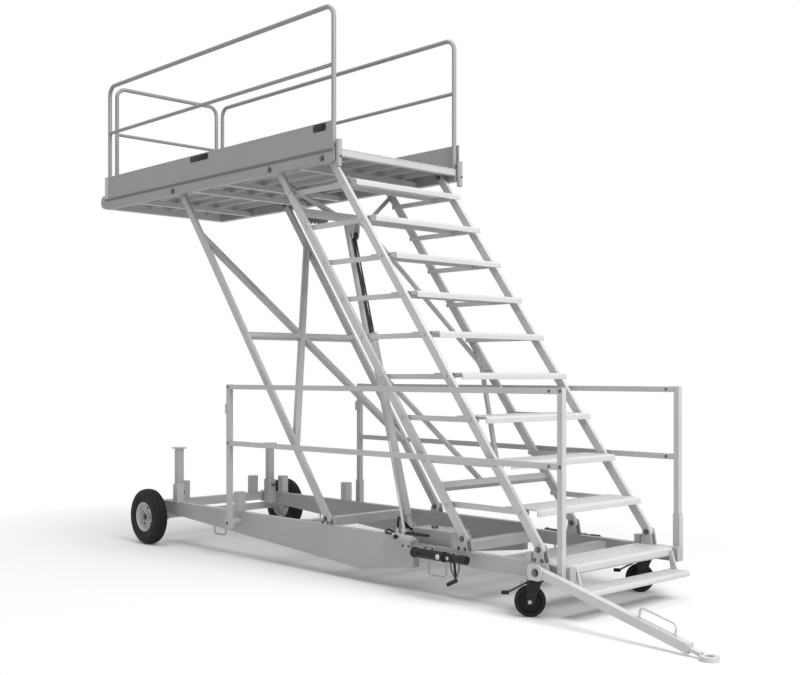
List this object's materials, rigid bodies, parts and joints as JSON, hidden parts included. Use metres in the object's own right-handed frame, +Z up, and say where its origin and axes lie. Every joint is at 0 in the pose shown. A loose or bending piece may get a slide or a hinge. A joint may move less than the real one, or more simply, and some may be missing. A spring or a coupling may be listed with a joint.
{
  "type": "hydraulic maintenance platform",
  "caption": "Towable hydraulic maintenance platform with a guarded deck on parallel stringers, a self-levelling stair, a hand-pumped cylinder, castors, rear wheels and a drawbar.",
  "frame": {"origin": "floor under the middle of the overall box", "axes": "+X towards the stair foot and drawbar, +Y to the left, +Z up"},
  "size_m": [6.9, 1.674, 4.36],
  "materials": {
    "grey_paint": "semi-gloss light grey paint",
    "black_paint": "satin black paint",
    "tyre": "matt rubber",
    "castor_rubber": "matt rubber",
    "rod_chrome": "polished",
    "bumper": "matt grey",
    "hose": "satin black rubber"
  },
  "bodies": {
    "chassis": {"side_beams": "grey_paint", "front_rails": "grey_paint", "cross_members": "grey_paint", "rear_axle": "grey_paint", "link_feet": "grey_paint", "guard_sockets": "grey_paint", "chassis_posts": "grey_paint", "chassis_rails": "grey_paint", "fixed_step": "grey_paint", "lower_step": "grey_paint", "leg_sleeves": "grey_paint", "rest_posts": "grey_paint", "cylinder_foot": "grey_paint", "pump": "grey_paint", "pump_lever": "grey_paint", "pump_pedal": "black_paint", "oil_tank": "grey_paint", "pump_hoses": "hose", "tie_loops": "grey_paint", "castor_plates": "grey_paint", "jack_mounts": "grey_paint", "drawbar_ears": "grey_paint"},
    "front_links": {"front_stringers": "grey_paint"},
    "rear_links": {"rear_stringers": "grey_paint", "rear_cross_beams": "grey_paint", "rear_braces": "grey_paint"},
    "leg_links": {"legs": "grey_paint"},
    "platform": {"platform_beams": "grey_paint", "platform_pins": "grey_paint", "platform_cross_beams": "grey_paint", "deck_planks": "grey_paint", "toeboards": "grey_paint", "platform_guards": "grey_paint", "platform_mid_rails": "grey_paint", "end_guard": "grey_paint", "bumper_roll": "bumper"},
    "tread_1": {"tread_1": "grey_paint"},
    "tread_2": {"tread_2": "grey_paint"},
    "tread_3": {"tread_3": "grey_paint"},
    "tread_4": {"tread_4": "grey_paint"},
    "tread_5": {"tread_5": "grey_paint"},
    "tread_6": {"tread_6": "grey_paint"},
    "tread_7": {"tread_7": "grey_paint"},
    "tread_8": {"tread_8": "grey_paint"},
    "tread_9": {"tread_9": "grey_paint"},
    "barrel": {"barrel": "grey_paint"},
    "rod": {"piston_rod": "rod_chrome"},
    "wheel_right": {"tyre_right": "tyre", "rim_right": "grey_paint"},
    "castor_right": {"castor_fork_right": "black_paint"},
    "castor_wheel_right": {"castor_wheel_right": "castor_rubber"},
    "drop_leg_right": {"drop_leg_right": "grey_paint"},
    "swing_jack_right": {"swing_jack_right": "black_paint"},
    "wheel_left": {"tyre_left": "tyre", "rim_left": "grey_paint"},
    "castor_left": {"castor_fork_left": "black_paint"},
    "castor_wheel_left": {"castor_wheel_left": "castor_rubber"},
    "drop_leg_left": {"drop_leg_left": "grey_paint"},
    "swing_jack_left": {"swing_jack_left": "black_paint"},
    "drawbar": {"drawbar": "grey_paint"}
  },
  "joints": [
    {"name": "lift", "type": "hinge", "parent": "chassis", "child": "front_links", "pos_m": [2.075, 0, 0.43], "axis": [0, 1, 0], "range_deg": [-34, 2]},
    {"name": "rear_stringer_fold", "type": "hinge", "parent": "chassis", "child": "rear_links", "pos_m": [1.412, 0, 0.43], "axis": [0, 1, 0], "range_deg": [-35, 3]},
    {"name": "leg_fold", "type": "hinge", "parent": "chassis", "child": "leg_links", "pos_m": [-0.03, 0, 0.43], "axis": [0, 1, 0], "range_deg": [-35, 3]},
    {"name": "platform_level", "type": "hinge", "parent": "front_links", "child": "platform", "pos_m": [0.0086, 0, 3.1852], "axis": [0, 1, 0], "range_deg": [-3, 35]},
    {"name": "tread_1_level", "type": "hinge", "parent": "front_links", "child": "tread_1", "pos_m": [1.91382, 0, 0.6449], "axis": [0, 1, 0], "range_deg": [-3, 35]},
    {"name": "tread_2_level", "type": "hinge", "parent": "front_links", "child": "tread_2", "pos_m": [1.69401, 0, 0.93799], "axis": [0, 1, 0], "range_deg": [-3, 35]},
    {"name": "tread_3_level", "type": "hinge", "parent": "front_links", "child": "tread_3", "pos_m": [1.47419, 0, 1.23107], "axis": [0, 1, 0], "range_deg": [-3, 35]},
    {"name": "tread_4_level", "type": "hinge", "parent": "front_links", "child": "tread_4", "pos_m": [1.25438, 0, 1.52416], "axis": [0, 1, 0], "range_deg": [-3, 35]},
    {"name": "tread_5_level", "type": "hinge", "parent": "front_links", "child": "tread_5", "pos_m": [1.03456, 0, 1.81724], "axis": [0, 1, 0], "range_deg": [-3, 35]},
    {"name": "tread_6_level", "type": "hinge", "parent": "front_links", "child": "tread_6", "pos_m": [0.81475, 0, 2.11033], "axis": [0, 1, 0], "range_deg": [-3, 35]},
    {"name": "tread_7_level", "type": "hinge", "parent": "front_links", "child": "tread_7", "pos_m": [0.59494, 0, 2.40341], "axis": [0, 1, 0], "range_deg": [-3, 35]},
    {"name": "tread_8_level", "type": "hinge", "parent": "front_links", "child": "tread_8", "pos_m": [0.37512, 0, 2.69649], "axis": [0, 1, 0], "range_deg": [-3, 35]},
    {"name": "tread_9_level", "type": "hinge", "parent": "front_links", "child": "tread_9", "pos_m": [0.15531, 0, 2.98958], "axis": [0, 1, 0], "range_deg": [-3, 35]},
    {"name": "cylinder_swing", "type": "hinge", "parent": "chassis", "child": "barrel", "pos_m": [0.249, 0, 0.34], "axis": [0, 1, 0], "range_deg": [-44, 4]},
    {"name": "rod_slide", "type": "slide", "parent": "barrel", "child": "rod", "axis": [-0.2736, 0, 0.9618], "range_m": [-0.6, 0.04]},
    {"name": "wheel_right_spin", "type": "hinge", "parent": "chassis", "child": "wheel_right", "pos_m": [-2.36, -0.775, 0.25], "axis": [0, 1, 0], "continuous": true},
    {"name": "castor_right_swivel", "type": "hinge", "parent": "chassis", "child": "castor_right", "pos_m": [2.05, -0.6, 0.2], "axis": [0, 0, 1], "continuous": true},
    {"name": "castor_right_roll", "type": "hinge", "parent": "castor_right", "child": "castor_wheel_right", "pos_m": [2.01454, -0.6277, 0.1], "axis": [-0.6157, 0.788, 0], "continuous": true},
    {"name": "drop_leg_right_slide", "type": "slide", "parent": "chassis", "child": "drop_leg_right", "axis": [0, 0, 1], "range_m": [-0.295, 0]},
    {"name": "swing_jack_right_swing", "type": "hinge", "parent": "chassis", "child": "swing_jack_right", "pos_m": [1.11, -0.72, 0.31], "axis": [0, -1, 0], "range_deg": [0, 90]},
    {"name": "wheel_left_spin", "type": "hinge", "parent": "chassis", "child": "wheel_left", "pos_m": [-2.36, 0.775, 0.25], "axis": [0, 1, 0], "continuous": true},
    {"name": "castor_left_swivel", "type": "hinge", "parent": "chassis", "child": "castor_left", "pos_m": [2.05, 0.6, 0.2], "axis": [0, 0, 1], "continuous": true},
    {"name": "castor_left_roll", "type": "hinge", "parent": "castor_left", "child": "castor_wheel_left", "pos_m": [2.01454, 0.57229, 0.1], "axis": [-0.6157, 0.788, 0], "continuous": true},
    {"name": "drop_leg_left_slide", "type": "slide", "parent": "chassis", "child": "drop_leg_left", "axis": [0, 0, 1], "range_m": [-0.295, 0]},
    {"name": "swing_jack_left_swing", "type": "hinge", "parent": "chassis", "child": "swing_jack_left", "pos_m": [1.11, 0.72, 0.31], "axis": [0, -1, 0], "range_deg": [0, 90]},
    {"name": "drawbar_lift", "type": "hinge", "parent": "chassis", "child": "drawbar", "pos_m": [2.14, -0.6859, 0.305], "axis": [-0.0764, -0.9971, 0], "range_deg": [0, 45]}
  ],
  "couplings": [
    {"joint": "rear_stringer_fold", "follows": "lift", "ratio": 1},
    {"joint": "leg_fold", "follows": "lift", "ratio": 1},
    {"joint": "platform_level", "follows": "lift", "ratio": -1},
    {"joint": "tread_1_level", "follows": "lift", "ratio": -1},
    {"joint": "tread_2_level", "follows": "lift", "ratio": -1},
    {"joint": "tread_3_level", "follows": "lift", "ratio": -1},
    {"joint": "tread_4_level", "follows": "lift", "ratio": -1},
    {"joint": "tread_5_level", "follows": "lift", "ratio": -1},
    {"joint": "tread_6_level", "follows": "lift", "ratio": -1},
    {"joint": "tread_7_level", "follows": "lift", "ratio": -1},
    {"joint": "tread_8_level", "follows": "lift", "ratio": -1},
    {"joint": "tread_9_level", "follows": "lift", "ratio": -1},
    {"joint": "cylinder_swing", "follows": "lift", "ratio": 1.275},
    {"joint": "rod_slide", "follows": "lift", "m_per_rad": 0.975}
  ]
}
